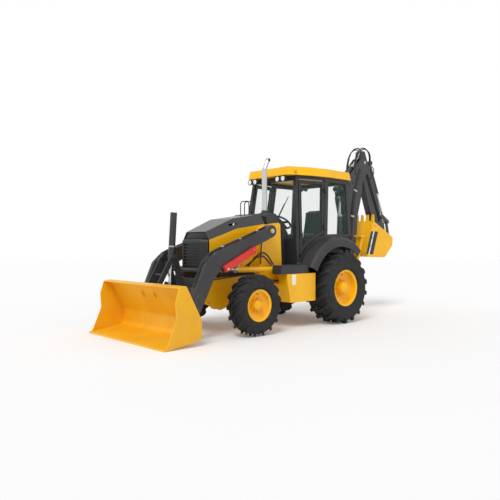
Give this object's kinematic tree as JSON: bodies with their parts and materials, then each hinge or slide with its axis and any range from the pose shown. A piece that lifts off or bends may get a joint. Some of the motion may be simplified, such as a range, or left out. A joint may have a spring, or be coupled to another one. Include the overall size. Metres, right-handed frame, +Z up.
{
  "type": "backhoe loader",
  "caption": "Wheeled backhoe loader with a front loader bucket on cranked arms, an enclosed cab, and a folded digging arm behind with stabilizer legs.",
  "frame": {"origin": "on the ground, midway between the front edge of the loader bucket and the rear of the folded digging arm, and midway across", "axes": "+X forward, towards the loader bucket; +Y to the machine's left; +Z up"},
  "size_m": [6.9243, 2.184, 3.4968],
  "materials": {
    "frame_yellow": "satin yellow enamel",
    "charcoal_paint": "satin charcoal enamel",
    "cab_black": "satin black enamel",
    "black_plastic": "moulded black plastic with a fine grain",
    "lock_red": "red enamel",
    "exhaust_steel": "bright exhaust steel",
    "rod_chrome": "ground hard chrome",
    "cab_glass": "pale green tinted safety glass",
    "tyre_rubber": "black tread rubber",
    "seat_fabric": "dark grey-green woven cloth",
    "engine_iron": "painted casting"
  },
  "bodies": {
    "chassis": {"cab_floor": "cab_black", "cab_frame": "cab_black", "cab_glass": "cab_glass", "cab_roof": "frame_yellow", "console": "black_plastic", "cowl": "charcoal_paint", "cowl_guard": "cab_black", "engine_block": "engine_iron", "exhaust": "exhaust_steel", "fenders": "black_plastic", "front_axle": "frame_yellow", "grille": "black_plastic", "hoe_frame": "frame_yellow", "main_frame": "frame_yellow", "rear_axle": "frame_yellow", "roof_lamps": "black_plastic", "seat": "seat_fabric", "side_tanks": "frame_yellow", "step_boxes": "cab_black", "swing_carriage": "frame_yellow"},
    "hood": {"hood": "frame_yellow"},
    "door_left": {"door_left": "cab_black", "door_glass_left": "cab_glass"},
    "door_right": {"door_right": "cab_black", "door_glass_right": "cab_glass"},
    "steering_rod": {"steering_rod": "rod_chrome"},
    "knuckle_left": {"knuckle_left": "frame_yellow"},
    "knuckle_right": {"knuckle_right": "frame_yellow"},
    "wheel_front_left": {"rim_front_left": "frame_yellow", "tyre_front_left": "tyre_rubber"},
    "wheel_front_right": {"rim_front_right": "frame_yellow", "tyre_front_right": "tyre_rubber"},
    "wheel_rear_left": {"rim_rear_left": "frame_yellow", "tyre_rear_left": "tyre_rubber"},
    "wheel_rear_right": {"rim_rear_right": "frame_yellow", "tyre_rear_right": "tyre_rubber"},
    "loader_arms": {"loader_arms": "charcoal_paint", "boom_lock": "lock_red"},
    "lift_barrels": {"lift_barrels": "charcoal_paint"},
    "lift_rods": {"lift_rods": "rod_chrome"},
    "tilt_lever": {"tilt_lever": "charcoal_paint"},
    "tilt_link": {"tilt_link": "charcoal_paint"},
    "tilt_barrel": {"tilt_barrel": "charcoal_paint"},
    "tilt_rod": {"tilt_rod": "rod_chrome"},
    "loader_bucket": {"loader_bucket": "frame_yellow"},
    "swing_post": {"swing_post": "frame_yellow"},
    "hoe_boom": {"hoe_boom": "charcoal_paint"},
    "hoe_dipper": {"hoe_dipper": "charcoal_paint"},
    "hoe_bucket": {"hoe_bucket": "frame_yellow"},
    "hoe_rocker": {"hoe_rocker": "charcoal_paint"},
    "hoe_link": {"hoe_link": "charcoal_paint"},
    "boom_barrel": {"boom_barrel": "charcoal_paint"},
    "boom_rod": {"boom_rod": "rod_chrome"},
    "dipper_barrel": {"dipper_barrel": "charcoal_paint"},
    "dipper_rod": {"dipper_rod": "rod_chrome"},
    "bucket_barrel": {"bucket_barrel": "charcoal_paint"},
    "bucket_rod": {"bucket_rod": "rod_chrome"},
    "stabilizer_left": {"stabilizer_left": "frame_yellow"},
    "stabilizer_right": {"stabilizer_right": "frame_yellow"}
  },
  "joints": [
    {"name": "hood_lift", "type": "hinge", "parent": "chassis", "child": "hood", "pos_m": [0.966, 0, 1.95], "axis": [0, -1, 0], "range_deg": [0, 45]},
    {"name": "door_left_swing", "type": "hinge", "parent": "chassis", "child": "door_left", "pos_m": [-0.25717, 0.75267, 2.1], "axis": [-0.1075, -0.0661, 0.992], "range_deg": [0, 80]},
    {"name": "door_right_swing", "type": "hinge", "parent": "chassis", "child": "door_right", "pos_m": [-0.25717, -0.75267, 2.1], "axis": [0.1075, -0.0661, -0.992], "range_deg": [0, 80]},
    {"name": "steer_left", "type": "hinge", "parent": "chassis", "child": "knuckle_left", "pos_m": [1.67, 0.72, 0.481], "axis": [0, 0, 1], "range_deg": [-35, 35]},
    {"name": "steer_right", "type": "hinge", "parent": "chassis", "child": "knuckle_right", "pos_m": [1.67, -0.72, 0.481], "axis": [0, 0, 1], "range_deg": [-35, 35]},
    {"name": "steering_rod_slide", "type": "slide", "parent": "chassis", "child": "steering_rod", "axis": [0, 1, 0], "range_m": [-0.1239, 0.1239]},
    {"name": "wheel_front_left_spin", "type": "hinge", "parent": "knuckle_left", "child": "wheel_front_left", "pos_m": [1.67, 0.915, 0.481], "axis": [0, 1, 0], "continuous": true},
    {"name": "wheel_front_right_spin", "type": "hinge", "parent": "knuckle_right", "child": "wheel_front_right", "pos_m": [1.67, -0.915, 0.481], "axis": [0, 1, 0], "continuous": true},
    {"name": "wheel_rear_left_spin", "type": "hinge", "parent": "chassis", "child": "wheel_rear_left", "pos_m": [-0.47, 0.845, 0.647], "axis": [0, 1, 0], "continuous": true},
    {"name": "wheel_rear_right_spin", "type": "hinge", "parent": "chassis", "child": "wheel_rear_right", "pos_m": [-0.47, -0.845, 0.647], "axis": [0, 1, 0], "continuous": true},
    {"name": "loader_lift", "type": "hinge", "parent": "chassis", "child": "loader_arms", "pos_m": [1.107, 0, 1.658], "axis": [0, -1, 0], "range_deg": [-3, 82]},
    {"name": "lift_barrel_turn", "type": "hinge", "parent": "chassis", "child": "lift_barrels", "pos_m": [0.93, 0, 1.01], "axis": [0, -1, 0], "range_deg": [-2.17, 57.84]},
    {"name": "lift_rod_slide", "type": "slide", "parent": "lift_barrels", "child": "lift_rods", "axis": [0.9996, 0, 0.0293], "range_m": [-0.0235, 0.6285]},
    {"name": "loader_bucket_tilt", "type": "hinge", "parent": "loader_arms", "child": "loader_bucket", "pos_m": [2.745, 0, 0.285], "axis": [0, -1, 0], "range_deg": [-80, 23]},
    {"name": "tilt_lever_turn", "type": "hinge", "parent": "loader_arms", "child": "tilt_lever", "pos_m": [2.49, 0, 0.725], "axis": [0, -1, 0], "range_deg": [-80.05, 23.05]},
    {"name": "tilt_link_turn", "type": "hinge", "parent": "tilt_lever", "child": "tilt_link", "pos_m": [2.68, 0, 1.235], "axis": [0, -1, 0], "range_deg": [-23.05, 80.05]},
    {"name": "tilt_barrel_turn", "type": "hinge", "parent": "tilt_lever", "child": "tilt_barrel", "pos_m": [2.61, 0, 1.23], "axis": [0, -1, 0], "range_deg": [-7.9, 27.35]},
    {"name": "tilt_rod_slide", "type": "slide", "parent": "tilt_barrel", "child": "tilt_rod", "axis": [0.0665, 0, -0.9978], "range_m": [-0.3358, 0.0969]},
    {"name": "hoe_swing", "type": "hinge", "parent": "chassis", "child": "swing_post", "pos_m": [-1.52, 0, 0.76], "axis": [0, 0, 1], "range_deg": [-90, 90]},
    {"name": "hoe_boom_lower", "type": "hinge", "parent": "swing_post", "child": "hoe_boom", "pos_m": [-1.72, 0, 0.76], "axis": [0, -1, 0], "range_deg": [0, 95]},
    {"name": "boom_barrel_turn", "type": "hinge", "parent": "swing_post", "child": "boom_barrel", "pos_m": [-1.59, 0, 1.18], "axis": [0, -1, 0], "range_deg": [0, 107.93]},
    {"name": "boom_rod_slide", "type": "slide", "parent": "boom_barrel", "child": "boom_rod", "axis": [-0.0555, 0, 0.9985], "range_m": [0, 0.5862]},
    {"name": "hoe_dipper_open", "type": "hinge", "parent": "hoe_boom", "child": "hoe_dipper", "pos_m": [-2.36, 0, 3.24], "axis": [0, 1, 0], "range_deg": [0, 110]},
    {"name": "dipper_barrel_turn", "type": "hinge", "parent": "hoe_boom", "child": "dipper_barrel", "pos_m": [-1.6, 0, 2.62], "axis": [0, 1, 0], "range_deg": [0, 1.1]},
    {"name": "dipper_rod_slide", "type": "slide", "parent": "dipper_barrel", "child": "dipper_rod", "axis": [-0.6749, 0, 0.7379], "range_m": [-0.3417, 0]},
    {"name": "hoe_bucket_open", "type": "hinge", "parent": "hoe_dipper", "child": "hoe_bucket", "pos_m": [-3.12, 0, 1.735], "axis": [0, 1, 0], "range_deg": [0, 110]},
    {"name": "hoe_rocker_turn", "type": "hinge", "parent": "hoe_dipper", "child": "hoe_rocker", "pos_m": [-2.97, 0, 2.14], "axis": [0, 1, 0], "range_deg": [0, 103.12]},
    {"name": "hoe_link_turn", "type": "hinge", "parent": "hoe_rocker", "child": "hoe_link", "pos_m": [-3.29092, 0, 1.97688], "axis": [0, -1, 0], "range_deg": [0, 93.93]},
    {"name": "bucket_barrel_turn", "type": "hinge", "parent": "hoe_dipper", "child": "bucket_barrel", "pos_m": [-2.67, 0, 3.27], "axis": [0, 1, 0], "range_deg": [0, 7.49]},
    {"name": "bucket_rod_slide", "type": "slide", "parent": "bucket_barrel", "child": "bucket_rod", "axis": [-0.4329, 0, -0.9015], "range_m": [-0.5625, 0]},
    {"name": "stabilizer_left_lower", "type": "hinge", "parent": "chassis", "child": "stabilizer_left", "pos_m": [-1.169, 0.6, 0.48], "axis": [-1, 0, 0], "range_deg": [0, 105]},
    {"name": "stabilizer_right_lower", "type": "hinge", "parent": "chassis", "child": "stabilizer_right", "pos_m": [-1.169, -0.6, 0.48], "axis": [1, 0, 0], "range_deg": [0, 105]}
  ],
  "couplings": [
    {"joint": "steer_right", "follows": "steer_left", "ratio": 1},
    {"joint": "steering_rod_slide", "follows": "steer_left", "m_per_rad": -0.20188},
    {"joint": "lift_barrel_turn", "follows": "loader_lift", "ratio": 0.70467},
    {"joint": "lift_rod_slide", "follows": "loader_lift", "m_per_rad": 0.43873},
    {"joint": "tilt_lever_turn", "follows": "loader_bucket_tilt", "ratio": 1},
    {"joint": "tilt_link_turn", "follows": "loader_bucket_tilt", "ratio": -1},
    {"joint": "tilt_barrel_turn", "follows": "loader_bucket_tilt", "ratio": -0.3412},
    {"joint": "tilt_rod_slide", "follows": "loader_bucket_tilt", "m_per_rad": 0.24009},
    {"joint": "boom_barrel_turn", "follows": "hoe_boom_lower", "ratio": 1.1356},
    {"joint": "boom_rod_slide", "follows": "hoe_boom_lower", "m_per_rad": 0.3532},
    {"joint": "dipper_barrel_turn", "follows": "hoe_dipper_open", "ratio": 0.009488},
    {"joint": "dipper_rod_slide", "follows": "hoe_dipper_open", "m_per_rad": -0.1777},
    {"joint": "hoe_rocker_turn", "follows": "hoe_bucket_open", "ratio": 0.93692},
    {"joint": "hoe_link_turn", "follows": "hoe_bucket_open", "ratio": 0.85339},
    {"joint": "bucket_barrel_turn", "follows": "hoe_bucket_open", "ratio": 0.067562},
    {"joint": "bucket_rod_slide", "follows": "hoe_bucket_open", "m_per_rad": -0.29272}
  ]
}
